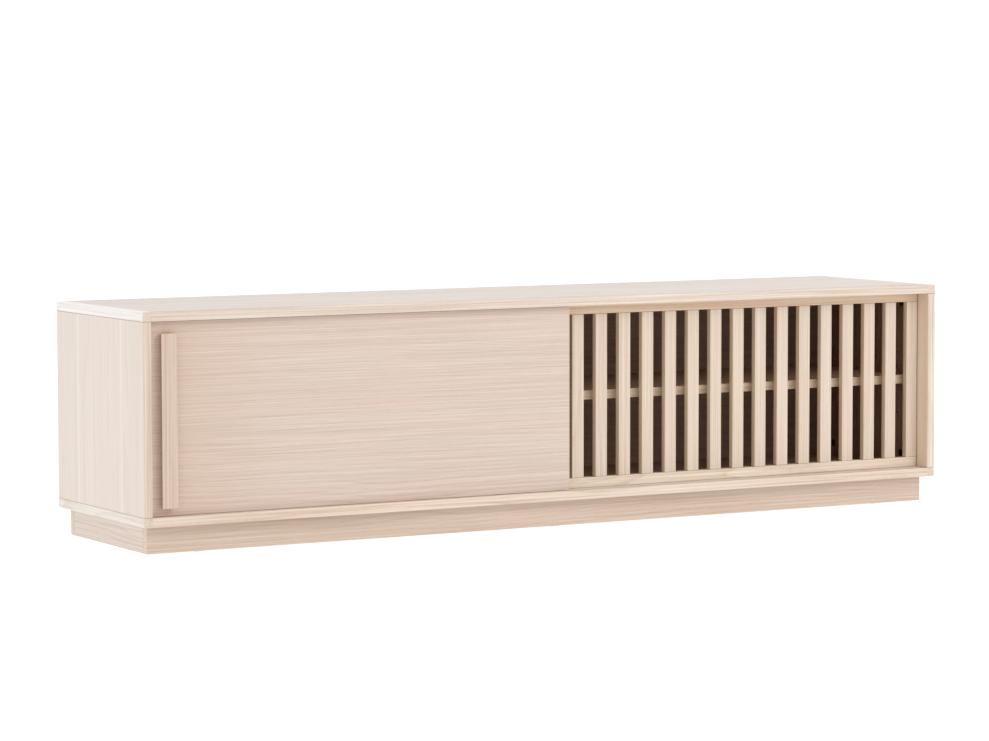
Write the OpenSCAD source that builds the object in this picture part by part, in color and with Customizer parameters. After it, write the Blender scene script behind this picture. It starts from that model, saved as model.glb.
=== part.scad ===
// Low media cabinet: a lipped carcass on a recessed plinth, with a solid sliding door on the
// front track and a slatted sliding door on the rear track.
// Millimetres. The origin is on the floor under the middle of the carcass, +X runs to the
// cabinet's right, +Y to its back and +Z up.

/* [Overall] */
// Width over the top panel
cab_w = 1800; // [1500:10:2200]
// Depth over the top panel
cab_d = 400; // [330:5:520]
// Height of the carcass above the plinth
carcass_h = 400; // [330:5:520]

/* [Boards] */
// Thickness of the top, bottom, divider and shelves
board_t = 18; // [15:0.5:25]
// Thickness of the two side panels
side_t = 17; // [14:0.5:25]
// Front-to-back width of the solid lipping on the front edges
front_lipping_d = 17; // [5:0.5:18]
// Thickness of the back panels
back_t = 6; // [4:0.5:8]
// How far the back panels lie inside the rear edges
back_inset = 4; // [3:0.5:12]
// Width of the ledge that the back panels sit on
back_ledge = 8; // [6:0.5:9]
// Play round the back panels
back_play = 0.5; // [0.2:0.1:1]

/* [Plinth] */
// Height of the plinth boards
plinth_h = 52; // [40:1:120]
// Thickness of the plinth boards
plinth_t = 17; // [15:0.5:22]
// Recess of the plinth behind the carcass front
plinth_front_recess = 27; // [10:1:60]
// Recess of the plinth at each end
plinth_end_recess = 16.5; // [5:0.5:60]
// Recess of the plinth at the back
plinth_back_recess = 20; // [5:1:60]
// Open joint between the end boards and the long boards
plinth_joint = 0.5; // [0:0.1:2]
// Side of the square corner blocks
block_w = 30; // [24:1:45]
// Height of the glides under the plinth
glide_t = 2; // [1.5:0.5:5]
// Radius of a glide
glide_r = 8; // [5:0.5:8.5]
// Distance from a plinth corner to its glide
glide_inset = 110; // [60:5:300]

/* [Doors] */
// Setback of the solid door's face behind the front edges
door_setback = 16; // [15:0.5:24]
// Thickness of both doors
door_t = 18; // [16:0.5:22]
// Air between the doors where they pass
door_pass_gap = 2.5; // [2:0.5:12]
// Air between a closed door and its side panel
door_side_gap = 2; // [1.5:0.5:5]
// Air over the doors
door_top_gap = 1.5; // [1:0.5:4]
// Air under the doors
door_floor_gap = 0.5; // [0.5:0.5:2]
// Reach of the solid door past the middle of the cabinet
solid_reach = 24; // [12:1:60]
// Reach of the slatted door past the middle of the cabinet
slat_reach = 11.5; // [5:0.5:60]
// Thickness of the soft buffers on the doors' edges
buffer_t = 1.2; // [0.8:0.1:1.3]

/* [Handle] */
// Width of the handle batten's front face
handle_w = 32.5; // [20:0.5:50]
// Thickness of the handle batten
handle_t = 14; // [10:0.5:14]
// How far the batten's long sides slope in towards the door, for the fingers
handle_grip = 6.5; // [0:0.5:9]
// Distance from the door's outer edge to the batten
handle_inset = 19; // [10:1:80]
// Distance from the door's bottom edge to the batten
handle_foot = 14.5; // [0:0.5:40]
// Distance from the door's top edge to the batten
handle_head = 21.5; // [0:0.5:40]

/* [Slatted door] */
// Number of slats
slat_count = 17; // [8:1:17]
// Width of a slat
slat_w = 26.5; // [20:0.5:36]
// Thickness of a slat
slat_t = 12.5; // [9:0.5:15]
// Wood between the tenons' mortises and the mortises for rollers and guides
rail_web = 1; // [1:0.5:20]
// Length of the stub tenons
tenon_l = 6; // [4:0.5:6]
// Thickness of the stub tenons
tenon_t = 6; // [4:0.5:8]
// Shoulder beside each stub tenon
tenon_shoulder = 6; // [3:0.5:8]
// Play round a tenon in its mortise
tenon_play = 0.1; // [0.05:0.05:0.3]

/* [Tracks and rollers] */
// Outer width of a track channel
track_w = 8; // [7:0.5:10]
// Wall of a track channel
track_wall = 1; // [0.8:0.1:1.2]
// Depth of the lower channels
lower_track_h = 8; // [5:0.5:8]
// Depth of the upper channels
upper_track_h = 10; // [8:0.5:11]
// Radius of a roller wheel
wheel_r = 9; // [8:0.5:10]
// Width of a roller wheel
wheel_w = 4; // [3:0.5:4.5]
// Radius of a wheel's stub axle
axle_r = 1.5; // [1:0.1:2]
// Running clearance of the stub axle in its bore
axle_play = 0.05; // [0.02:0.01:0.09]
// Air between a wheel and the floor of its channel
wheel_air = 0.3; // [0.2:0.1:0.5]
// Air between a wheel and its housing
housing_air = 0.5; // [0.4:0.1:1]
// Width of a roller housing across the door
housing_w = 10; // [8.5:0.5:12]
// Length of a roller housing
housing_l = 36; // [30:1:50]
// Distance from a door's edge to its rollers and guides
roller_inset = 60; // [40:1:150]
// Air on each side of a guide tongue in the upper channel
tongue_air = 0.5; // [0.3:0.1:0.8]
// Height of a guide tongue over the door's top edge
tongue_h = 7; // [5:0.5:8]
// Depth of a guide's base in the door's top edge
guide_base_h = 10; // [8:0.5:11]

/* [Shelves] */
// Air between the slatted door's back and a shelf
shelf_front_air = 7.5; // [2:0.5:20]
// Air between a shelf and the back panel
shelf_back_air = 2; // [0.5:0.5:20]
// Air at each end of a shelf
shelf_end_air = 1; // [0.5:0.5:3]
// Radius of a shelf pin
pin_r = 2.5; // [2:0.1:3]
// Length of pin that carries the shelf
pin_out = 8; // [6:0.5:12]
// Wood left between opposite pin holes in the divider
pin_web = 2; // [1:0.5:4]
// Spacing of the pin holes
pin_pitch = 32; // [25:1:40]
// Distance from a shelf's front or back edge to its pins
pin_inset = 45; // [30:1:100]

/* [Cable ports] */
// Radius of a cable port
port_r = 30; // [20:1:40]
// Distance from the middle of the cabinet to the cable ports
port_x = 150; // [80:5:500]

/* [Fittings] */
// Radius of a cam lock
cam_r = 7.5; // [6:0.5:7.5]
// Depth of a cam lock
cam_depth = 12.5; // [11:0.5:13]
// Distance from the board joint to the cam's centre
cam_z = 24; // [20:1:34]
// Radius of a cam bolt's shank
bolt_r = 3; // [2:0.5:3.5]
// Radius of a cam bolt's thread
bolt_thread_r = 2.5; // [2:0.5:3]
// Length of a cam bolt's thread
bolt_thread_l = 11; // [8:1:12]
// Radius of a dowel
dowel_r = 4; // [3:0.5:5]
// Length of a dowel
dowel_l = 30; // [25:1:40]
// Depth of a dowel in the top or bottom panel
dowel_seat = 11; // [8:1:12]
// Distance from the front edge to the front cams
cam_front = 95; // [80:1:120]
// Distance from the rear edge to the rear cams
cam_back = 60; // [50:1:80]
// Distance from a cam to its dowel
dowel_step = 45; // [25:1:60]
// Play round a fitting in its hole
fit_play = 0.05; // [0.02:0.01:0.1]

/* [Hidden] */
$fn = 48;
CUT = 1;                                        // overrun of a cutting shape past a face

CARCASS_NODES = ["top_panel", "top_front_lipping", "top_end_lippings",
  "bottom_panel", "bottom_front_lipping", "bottom_end_lippings",
  "left_side", "right_side", "centre_divider", "left_back", "right_back",
  "left_shelf", "right_shelf", "shelf_pins", "upper_tracks", "lower_tracks"];
PLINTH_NODES = ["plinth_front", "plinth_back", "plinth_left", "plinth_right",
  "plinth_cross_rail", "plinth_corner_blocks", "glides"];
FITTING_NODES = ["cam_locks", "cam_bolts", "dowels", "plinth_screws", "back_screws"];
SOLID_DOOR_NODES = ["solid_door_panel", "door_handle", "handle_screws",
  "solid_door_housings", "solid_door_guides", "solid_door_buffers",
  "solid_door_left_wheel", "solid_door_right_wheel"];
SLAT_DOOR_NODES = ["slat_door_top_rail", "slat_door_bottom_rail",
  "slat_door_housings", "slat_door_guides", "slat_door_buffers",
  "slat_door_left_wheel", "slat_door_right_wheel"];
function slat_name(i) = str("slat_", i < 10 ? "0" : "", i);

// Heights, from the floor up
carcass_z = glide_t + plinth_h;
floor_z = carcass_z + board_t;                  // upper face of the bottom panel
cab_h = carcass_z + carcass_h;
ceiling_z = cab_h - board_t;                    // underside of the top panel

// Faces across the width and from front to back
end_x = cab_w / 2;
inner_x = end_x - side_t;                       // inner faces of the side panels
front_y = -cab_d / 2;
rear_y = cab_d / 2;
back_y = rear_y - back_inset - back_t;          // front face of the back panels
lip_y = front_y + front_lipping_d;

// Plinth outline
plinth_x = end_x - plinth_end_recess;
plinth_front_y = front_y + plinth_front_recess;
plinth_back_y = rear_y - plinth_back_recess;
plinth_screw_r = 2;
plinth_screw_l = 46;
plinth_screw_bite = 11;                         // length of screw in the bottom panel
plinth_screw_head_r = 4;
plinth_screw_head_t = 3;

// Doors
solid_y = front_y + door_setback;               // front face of the solid door
slat_y = solid_y + door_t + door_pass_gap;      // front face of the slatted door
door_z0 = floor_z + door_floor_gap;
door_z1 = ceiling_z - door_top_gap;
solid_x0 = -inner_x + door_side_gap;
solid_x1 = solid_reach;
slat_x0 = -slat_reach;
slat_x1 = inner_x - door_side_gap;
slat_pitch = (slat_x1 - slat_x0 - slat_w) / (slat_count - 1);

// Handle and its screws
handle_x0 = solid_x0 + handle_inset;
handle_z0 = door_z0 + handle_foot;
handle_z1 = door_z1 - handle_head;
handle_foot_w = 12;                             // least width of the batten against the door
handle_slope = min(handle_grip, (handle_w - handle_foot_w) / 2);
handle_screw_r = 2;
handle_screw_bite = 9;                          // length of screw in the batten
handle_screw_head_r = 3.8;
handle_screw_head_t = 2.4;
handle_screw_margin = 45;

// Tracks, rollers and guides
solid_track_y = solid_y + door_t / 2;
slat_track_y = slat_y + door_t / 2;
wheel_z = floor_z - lower_track_h + track_wall + wheel_air + wheel_r;
housing_roof = 1.5;                             // plastic over a wheel
housing_z1 = wheel_z + wheel_r + housing_air + housing_roof;
slat_z0 = housing_z1 + rail_web + tenon_l;      // upper edge of the bottom rail
slat_z1 = door_z1 - guide_base_h - rail_web - tenon_l;
tongue_w = track_w - 2 * track_wall - 2 * tongue_air;
tongue_l = 18;
guide_l = 26;
buffer_r = 5;
buffer_margin = 50;                             // from a door's top or bottom edge

// Shelves
shelf_y0 = slat_y + door_t + shelf_front_air;
shelf_y1 = back_y - shelf_back_air;
shelf_z0 = (floor_z + ceiling_z - board_t) / 2;
shelf_z1 = shelf_z0 + board_t;
pin_z = shelf_z0 - pin_r;
pin_hole_depth = (board_t - pin_web) / 2;
pin_air = 0.5;                                  // air behind a pin in its hole
pin_in = pin_hole_depth - pin_air;
pin_ys = [shelf_y0 + pin_inset, shelf_y1 - pin_inset];
pin_faces = [[-inner_x, 1], [-board_t / 2, -1], [board_t / 2, 1], [inner_x, -1]];

// Divider, and the joints of the uprights with the top and bottom panels
divider_y0 = shelf_y0;
side_joint_x = end_x - side_t / 2;
joint_xs = [-side_joint_x, 0, side_joint_x];
cam_ys = [front_y + cam_front, rear_y - cam_back];
dowel_ys = [cam_ys[0] + dowel_step, cam_ys[1] - dowel_step];
bolt_head_h = 3;
bolt_neck_h = 3;
bolt_end = cam_z - 2;                           // the bolt's head ends inside the cam
dowel_air = 1;                                  // air over a dowel in the upright
function upright_t(x) = x == 0 ? board_t : side_t;
function cam_dir(x) = x > 0 ? -1 : 1;           // side of the upright that the cam is on

// Back panel screws
back_screw_r = 1.5;
back_screw_bite = 16;
back_screw_head_r = 3;
back_screw_head_t = 2;
back_span = inner_x + back_ledge - back_play;   // outer edge of a back panel
back_seam = 0.5;                                // from the middle to a back panel's edge
back_z0 = floor_z - back_ledge + back_play;
back_z1 = ceiling_z + back_ledge - back_play;
back_screw_zs = [floor_z - back_ledge / 2, ceiling_z + back_ledge / 2];
back_screw_margin = 105;                        // from a back panel's ends to its screws
back_screw_xs = [back_screw_margin, inner_x / 2, inner_x - back_screw_margin];
back_middle_x = board_t / 4;                    // screws into the divider's rear edge
back_side_x = inner_x + back_ledge / 2;
back_middle_z = (floor_z + ceiling_z) / 2;
port_zs = [(floor_z + shelf_z0) / 2, (shelf_z1 + ceiling_z) / 2];

OAK = [0.90, 0.83, 0.75];
OAK_WARM = [0.87, 0.79, 0.71];
OAK_END = [0.94, 0.90, 0.86];
DARK_BACK = [0.30, 0.22, 0.18];
BEECH = [0.82, 0.66, 0.47];
PLASTIC = [0.85, 0.82, 0.76];
STEEL = [0.72, 0.72, 0.73];

// ---- Shapes used by several pieces ----

// A box from its low corner to its high corner
module box(low, high) {
  translate(low) cube(high - low);
}

// A block with half-round ends, length along X, standing on z = 0
module stadium(length, width, height) {
  linear_extrude(height) {
    square([length - width, width], center = true);
    for (end = [-1, 1])
      translate([end * (length - width) / 2, 0]) circle(d = width);
  }
}

// A cross recess cut into a screw head, with its mouth at z = 0 and its depth towards -Z
module cross_recess(width, depth) {
  arm = width / 4;
  for (turn = [0, 90])
    rotate(turn)
      translate([-width / 2, -arm / 2, -depth]) cube([width, arm, depth + CUT]);
}

// A flat-headed screw along +Z: the head's outer face is at z = 0
module screw(shank_r, head_r, head_t, length) {
  difference() {
    union() {
      cylinder(r = head_r, h = head_t);
      cylinder(r = shank_r, h = length);
    }
    mirror([0, 0, 1]) cross_recess(head_r * 1.2, head_t * 0.6);
  }
}

// ---- Places where fittings repeat ----

// Each joint of an upright with the top or bottom panel: z = 0 is the joint, +Z into the upright
module at_joints(x, ys) {
  for (y = ys) {
    translate([x, y, floor_z]) children();
    translate([x, y, ceiling_z]) mirror([0, 0, 1]) children();
  }
}

// A shelf pin's axis, +Z out of the board
module at_pin_faces(faces, z) {
  for (face = faces, y = pin_ys)
    translate([face[0], y, z]) rotate([0, face[1] * 90, 0]) children();
}

// The back panels' screws, +Z towards the front, z = 0 on the panels' rear face
module at_back_screws() {
  translate([0, back_y + back_t, 0])
    for (side = [-1, 1]) {
      for (z = back_screw_zs, x = back_screw_xs)
        translate([side * x, 0, z]) rotate([90, 0, 0]) children();
      for (x = [back_middle_x, back_side_x])
        translate([side * x, 0, back_middle_z]) rotate([90, 0, 0]) children();
    }
}

module at_plinth_screws() {
  for (sx = [-1, 1])
    for (y = [plinth_front_y + plinth_t + block_w / 2, plinth_back_y - plinth_t - block_w / 2])
      translate([sx * (plinth_x - plinth_t - block_w / 2), y,
                 carcass_z + plinth_screw_bite - plinth_screw_l])
        children();
}

module at_handle_screws() {
  for (z = [handle_z0 + handle_screw_margin, (handle_z0 + handle_z1) / 2,
            handle_z1 - handle_screw_margin])
    translate([handle_x0 + handle_w / 2, solid_y + door_t, z]) rotate([90, 0, 0]) children();
}

// ---- Cutting shapes ----

module cam_bores(x) {
  face = cam_dir(x) * upright_t(x) / 2;
  at_joints(x, cam_ys) {
    translate([face, 0, cam_z]) rotate([0, -cam_dir(x) * 90, 0])
      translate([0, 0, -CUT]) cylinder(r = cam_r + fit_play, h = cam_depth + fit_play + CUT);
    translate([0, 0, -CUT]) cylinder(r = bolt_r + fit_play, h = cam_z + CUT);
  }
  at_joints(x, dowel_ys)
    translate([0, 0, -CUT])
      cylinder(r = dowel_r + fit_play, h = dowel_l - dowel_seat + dowel_air + CUT);
}

// The same joints, on the side of the top and bottom panels
module panel_bores(x) {
  at_joints(x, cam_ys)
    translate([0, 0, -bolt_thread_l - fit_play])
      cylinder(r = bolt_thread_r + fit_play, h = bolt_thread_l + fit_play + CUT);
  at_joints(x, dowel_ys)
    translate([0, 0, -dowel_seat - fit_play])
      cylinder(r = dowel_r + fit_play, h = dowel_seat + fit_play + CUT);
}

module pin_bores(faces) {
  for (step = [-2:2])
    at_pin_faces(faces, pin_z + step * pin_pitch)
      translate([0, 0, -pin_hole_depth]) cylinder(r = pin_r + fit_play, h = pin_hole_depth + CUT);
}

module back_rebate() {
  box([-inner_x - back_ledge, back_y, floor_z - back_ledge],
      [inner_x + back_ledge, rear_y + CUT, ceiling_z + back_ledge]);
}

module back_screw_bores() {
  at_back_screws()
    translate([0, 0, back_t - CUT])
      cylinder(r = back_screw_r + fit_play, h = back_screw_bite + fit_play + CUT);
}

module track_groove(y, z0, z1) {
  box([-inner_x, y - track_w / 2, z0], [inner_x, y + track_w / 2, z1]);
}

module plinth_screw_bores(r) {
  at_plinth_screws() cylinder(r = r + fit_play, h = plinth_screw_l + fit_play);
}

// ---- Carcass ----

module top_panel() {
  color(OAK)
    difference() {
      box([-inner_x, lip_y, ceiling_z], [inner_x, rear_y, cab_h]);
      for (y = [solid_track_y, slat_track_y])
        track_groove(y, ceiling_z - CUT, ceiling_z + upper_track_h);
      panel_bores(0);
      back_rebate();
      back_screw_bores();
    }
}

module top_front_lipping() {
  color(OAK) box([-inner_x, front_y, ceiling_z], [inner_x, lip_y, cab_h]);
}

module end_lippings(z0, z1) {
  color(OAK_END)
    difference() {
      for (side = [-1, 1])
        translate([side * side_joint_x - side_t / 2, front_y, z0])
          cube([side_t, cab_d, z1 - z0]);
      panel_bores(-side_joint_x);
      panel_bores(side_joint_x);
      back_rebate();
    }
}

module top_end_lippings() {
  end_lippings(ceiling_z, cab_h);
}

module bottom_panel() {
  color(OAK)
    difference() {
      box([-inner_x, lip_y, carcass_z], [inner_x, rear_y, floor_z]);
      for (y = [solid_track_y, slat_track_y])
        track_groove(y, floor_z - lower_track_h, floor_z + CUT);
      panel_bores(0);
      plinth_screw_bores(plinth_screw_r);
      back_rebate();
      back_screw_bores();
    }
}

module bottom_front_lipping() {
  color(OAK) box([-inner_x, front_y, carcass_z], [inner_x, lip_y, floor_z]);
}

module bottom_end_lippings() {
  end_lippings(carcass_z, floor_z);
}

module side_panel(side) {
  x = side * side_joint_x;
  color(OAK)
    difference() {
      box([x - side_t / 2, front_y, floor_z], [x + side_t / 2, rear_y, ceiling_z]);
      cam_bores(x);
      pin_bores([[side * inner_x, -side]]);
      back_rebate();
      back_screw_bores();
    }
}

module left_side() {
  side_panel(-1);
}

module right_side() {
  side_panel(1);
}

module centre_divider() {
  color(OAK)
    difference() {
      box([-board_t / 2, divider_y0, floor_z], [board_t / 2, back_y, ceiling_z]);
      cam_bores(0);
      pin_bores([[-board_t / 2, -1], [board_t / 2, 1]]);
      back_screw_bores();
    }
}

module back_panel(side) {
  color(DARK_BACK)
    difference() {
      mirror([side < 0 ? 1 : 0, 0, 0])
        box([back_seam, back_y, back_z0], [back_span, back_y + back_t, back_z1]);
      for (z = port_zs)
        translate([side * port_x, back_y - CUT, z])
          rotate([-90, 0, 0]) cylinder(r = port_r, h = back_t + 2 * CUT);
      at_back_screws()
        translate([0, 0, -CUT]) cylinder(r = back_screw_r + fit_play, h = back_t + 2 * CUT);
    }
}

module left_back() {
  back_panel(-1);
}

module right_back() {
  back_panel(1);
}

module shelf(side) {
  color(OAK)
    mirror([side < 0 ? 1 : 0, 0, 0])
      box([board_t / 2 + shelf_end_air, shelf_y0, shelf_z0],
          [inner_x - shelf_end_air, shelf_y1, shelf_z1]);
}

module left_shelf() {
  shelf(-1);
}

module right_shelf() {
  shelf(1);
}

module shelf_pins() {
  color(STEEL)
    at_pin_faces(pin_faces, pin_z)
      translate([0, 0, -pin_in]) cylinder(r = pin_r, h = pin_in + pin_out);
}

// A channel along the opening, open towards +Z, with its lips at z = 0
module track_channel(depth) {
  difference() {
    box([-inner_x, -track_w / 2, -depth], [inner_x, track_w / 2, 0]);
    box([-inner_x - CUT, track_wall - track_w / 2, track_wall - depth],
        [inner_x + CUT, track_w / 2 - track_wall, CUT]);
  }
}

module upper_tracks() {
  color(PLASTIC)
    for (y = [solid_track_y, slat_track_y])
      translate([0, y, ceiling_z]) mirror([0, 0, 1]) track_channel(upper_track_h);
}

module lower_tracks() {
  color(PLASTIC)
    for (y = [solid_track_y, slat_track_y])
      translate([0, y, floor_z]) track_channel(lower_track_h);
}

// ---- Plinth ----

module plinth_front() {
  color(OAK_WARM)
    box([-plinth_x, plinth_front_y, glide_t], [plinth_x, plinth_front_y + plinth_t, carcass_z]);
}

module plinth_back() {
  color(OAK_WARM)
    box([-plinth_x, plinth_back_y - plinth_t, glide_t], [plinth_x, plinth_back_y, carcass_z]);
}

module plinth_end(side) {
  color(OAK_WARM)
    mirror([side < 0 ? 1 : 0, 0, 0])
      box([plinth_x - plinth_t, plinth_front_y + plinth_t + plinth_joint, glide_t],
          [plinth_x, plinth_back_y - plinth_t - plinth_joint, carcass_z]);
}

module plinth_left() {
  plinth_end(-1);
}

module plinth_right() {
  plinth_end(1);
}

module plinth_cross_rail() {
  color(BEECH)
    box([-plinth_t / 2, plinth_front_y + plinth_t, glide_t],
        [plinth_t / 2, plinth_back_y - plinth_t, carcass_z]);
}

module plinth_corner_blocks() {
  block_h = plinth_screw_l - plinth_screw_bite;
  color(BEECH)
    difference() {
      at_plinth_screws()
        translate([-block_w / 2, -block_w / 2, 0]) cube([block_w, block_w, block_h]);
      plinth_screw_bores(plinth_screw_r);
      at_plinth_screws()
        translate([0, 0, -CUT])
          cylinder(r = plinth_screw_head_r + fit_play, h = plinth_screw_head_t + CUT);
    }
}

module glides() {
  color(PLASTIC)
    for (y = [plinth_front_y + plinth_t / 2, plinth_back_y - plinth_t / 2])
      for (x = [-plinth_x + glide_inset, 0, plinth_x - glide_inset])
        translate([x, y, 0]) cylinder(r = glide_r, h = glide_t);
}

// ---- Carcass fittings ----

module cam_locks() {
  cam_recess = 2;
  color(STEEL)
    for (x = joint_xs)
      at_joints(x, cam_ys)
        difference() {
          translate([cam_dir(x) * upright_t(x) / 2, 0, cam_z])
            rotate([0, -cam_dir(x) * 90, 0])
              difference() {
                cylinder(r = cam_r, h = cam_depth);
                mirror([0, 0, 1]) cross_recess(cam_r, cam_recess);
              }
          cylinder(r = bolt_r + fit_play, h = bolt_end + fit_play);
        }
}

module cam_bolts() {
  color(STEEL)
    for (x = joint_xs)
      at_joints(x, cam_ys) {
        translate([0, 0, -bolt_thread_l]) cylinder(r = bolt_thread_r, h = bolt_thread_l);
        cylinder(r = bolt_r, h = bolt_end - bolt_head_h - bolt_neck_h);
        cylinder(r = bolt_r / 2, h = bolt_end);
        translate([0, 0, bolt_end - bolt_head_h]) cylinder(r = bolt_r, h = bolt_head_h);
      }
}

module dowels() {
  color(BEECH)
    for (x = joint_xs)
      at_joints(x, dowel_ys)
        translate([0, 0, -dowel_seat]) cylinder(r = dowel_r, h = dowel_l);
}

module plinth_screws() {
  color(STEEL)
    at_plinth_screws()
      screw(plinth_screw_r, plinth_screw_head_r, plinth_screw_head_t, plinth_screw_l);
}

module back_screws() {
  color(STEEL)
    at_back_screws()
      translate([0, 0, -back_screw_head_t])
        screw(back_screw_r, back_screw_head_r, back_screw_head_t,
              back_screw_head_t + back_t + back_screw_bite);
}

// ---- Parts that both doors have ----

module roller_housing_shape(z0) {
  translate([0, 0, z0]) stadium(housing_l, housing_w, housing_z1 - z0);
}

module guide_base_shape() {
  translate([0, 0, door_z1 - guide_base_h]) stadium(guide_l, housing_w, guide_base_h);
}

module at_door_ends(x0, x1, y) {
  for (x = [x0 + roller_inset, x1 - roller_inset])
    translate([x, y, 0]) children();
}

// Mortises in a door's bottom and top edges for its rollers and guides
module hardware_mortises(x0, x1, y) {
  at_door_ends(x0, x1, y) {
    roller_housing_shape(door_z0 - CUT);
    translate([0, 0, door_z1 - guide_base_h]) stadium(guide_l, housing_w, guide_base_h + CUT);
  }
}

module roller_housings(x0, x1, y) {
  slot_w = wheel_w + 2 * housing_air;
  slot_r = wheel_r + housing_air;
  color(PLASTIC)
    at_door_ends(x0, x1, y)
      difference() {
        roller_housing_shape(door_z0);
        translate([0, slot_w / 2, wheel_z]) rotate([90, 0, 0]) cylinder(r = slot_r, h = slot_w);
        translate([-slot_r, -slot_w / 2, door_z0 - CUT])
          cube([2 * slot_r, slot_w, wheel_z - door_z0 + CUT]);
        translate([0, housing_w / 2 + CUT, wheel_z])
          rotate([90, 0, 0]) cylinder(r = axle_r + axle_play, h = housing_w + 2 * CUT);
      }
}

module door_guides(x0, x1, y) {
  color(PLASTIC)
    at_door_ends(x0, x1, y) {
      guide_base_shape();
      translate([0, 0, door_z1]) stadium(tongue_l, tongue_w, tongue_h);
    }
}

// A wheel with its stub axles in one piece, on the axis of its bores
module roller_wheel(x, y) {
  hub_r = 2.5 * axle_r;
  hub_w = wheel_w + housing_air;
  tread_groove = 0.8;
  axle_l = housing_w - 1;
  color(PLASTIC)
    translate([x, y, wheel_z]) rotate([90, 0, 0])
      difference() {
        union() {
          cylinder(r = wheel_r, h = wheel_w, center = true);
          cylinder(r = hub_r, h = hub_w, center = true);
          cylinder(r = axle_r, h = axle_l, center = true);
        }
        rotate_extrude()
          translate([wheel_r, 0]) circle(r = tread_groove);
      }
}

module door_buffers(x0, x1, y) {
  color("dimgray")
    for (z = [door_z0 + buffer_margin, door_z1 - buffer_margin]) {
      translate([x0 - buffer_t, y, z]) rotate([0, 90, 0]) cylinder(r = buffer_r, h = buffer_t);
      translate([x1, y, z]) rotate([0, 90, 0]) cylinder(r = buffer_r, h = buffer_t);
    }
}

// ---- Solid door ----

module solid_door_panel() {
  color(OAK_WARM)
    difference() {
      box([solid_x0, solid_y, door_z0], [solid_x1, solid_y + door_t, door_z1]);
      hardware_mortises(solid_x0, solid_x1, solid_track_y);
      at_handle_screws() {
        translate([0, 0, -CUT])
          cylinder(r = handle_screw_head_r + fit_play, h = handle_screw_head_t + CUT);
        cylinder(r = handle_screw_r + fit_play, h = door_t + CUT);
      }
    }
}

// The batten is widest at its front face, so that the fingers hold it behind its long edges
module door_handle() {
  color(OAK_WARM)
    difference() {
      translate([handle_x0, solid_y - handle_t, handle_z0])
        linear_extrude(handle_z1 - handle_z0)
          polygon([[0, 0], [handle_w, 0],
                   [handle_w - handle_slope, handle_t], [handle_slope, handle_t]]);
      at_handle_screws()
        cylinder(r = handle_screw_r + fit_play, h = door_t + handle_screw_bite + fit_play);
    }
}

module handle_screws() {
  color(STEEL)
    at_handle_screws()
      screw(handle_screw_r, handle_screw_head_r, handle_screw_head_t,
            door_t + handle_screw_bite);
}

module solid_door_housings() {
  roller_housings(solid_x0, solid_x1, solid_track_y);
}

module solid_door_guides() {
  door_guides(solid_x0, solid_x1, solid_track_y);
}

module solid_door_buffers() {
  door_buffers(solid_x0, solid_x1, solid_track_y);
}

module solid_door_left_wheel() {
  roller_wheel(solid_x0 + roller_inset, solid_track_y);
}

module solid_door_right_wheel() {
  roller_wheel(solid_x1 - roller_inset, solid_track_y);
}

// ---- Slatted door ----

function slat_x(i) = slat_x0 + (i - 1) * slat_pitch;

// Both stub tenons of a slat, grown by the play of their mortises
module slat_tenons(i, play) {
  tenon_y = slat_y + (slat_t - tenon_t) / 2;
  box([slat_x(i) + tenon_shoulder - play, tenon_y - play, slat_z0 - tenon_l - play],
      [slat_x(i) + slat_w - tenon_shoulder + play, tenon_y + tenon_t + play,
       slat_z1 + tenon_l + play]);
}

module slat(i) {
  color(OAK) {
    box([slat_x(i), slat_y, slat_z0], [slat_x(i) + slat_w, slat_y + slat_t, slat_z1]);
    slat_tenons(i, 0);
  }
}

module slat_door_rail(z0, z1) {
  color(OAK)
    difference() {
      box([slat_x0, slat_y, z0], [slat_x1, slat_y + door_t, z1]);
      for (i = [1:slat_count])
        slat_tenons(i, tenon_play);
      hardware_mortises(slat_x0, slat_x1, slat_track_y);
    }
}

module slat_door_top_rail() {
  slat_door_rail(slat_z1, door_z1);
}

module slat_door_bottom_rail() {
  slat_door_rail(door_z0, slat_z0);
}

module slat_door_housings() {
  roller_housings(slat_x0, slat_x1, slat_track_y);
}

module slat_door_guides() {
  door_guides(slat_x0, slat_x1, slat_track_y);
}

module slat_door_buffers() {
  door_buffers(slat_x0, slat_x1, slat_track_y);
}

module slat_door_left_wheel() {
  roller_wheel(slat_x0 + roller_inset, slat_track_y);
}

module slat_door_right_wheel() {
  roller_wheel(slat_x1 - roller_inset, slat_track_y);
}

// ---- Drawing ----

top_panel();
top_front_lipping();
top_end_lippings();
bottom_panel();
bottom_front_lipping();
bottom_end_lippings();
left_side();
right_side();
centre_divider();
left_back();
right_back();
left_shelf();
right_shelf();
shelf_pins();
upper_tracks();
lower_tracks();
plinth_front();
plinth_back();
plinth_left();
plinth_right();
plinth_cross_rail();
plinth_corner_blocks();
glides();
cam_locks();
cam_bolts();
dowels();
plinth_screws();
back_screws();
solid_door_panel();
door_handle();
handle_screws();
solid_door_housings();
solid_door_guides();
solid_door_buffers();
solid_door_left_wheel();
solid_door_right_wheel();
slat_door_top_rail();
slat_door_bottom_rail();
slat_door_housings();
slat_door_guides();
slat_door_buffers();
slat_door_left_wheel();
slat_door_right_wheel();
for (i = [1:slat_count])
  slat(i);
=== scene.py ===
# %% [markdown]
# # A low media cabinet in pigmented oak
# This lesson dresses a cabinet that was designed in CAD. Its boards, doors, slats and rollers come in as they are, at
# their real size in metres, and Blender gives them light, eased edges and finishes. Nothing is moved: a finish or an
# edge that looks right on a board of the wrong size would be no use to a maker.

import math

import bpy
from mathutils import Matrix, Vector


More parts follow.
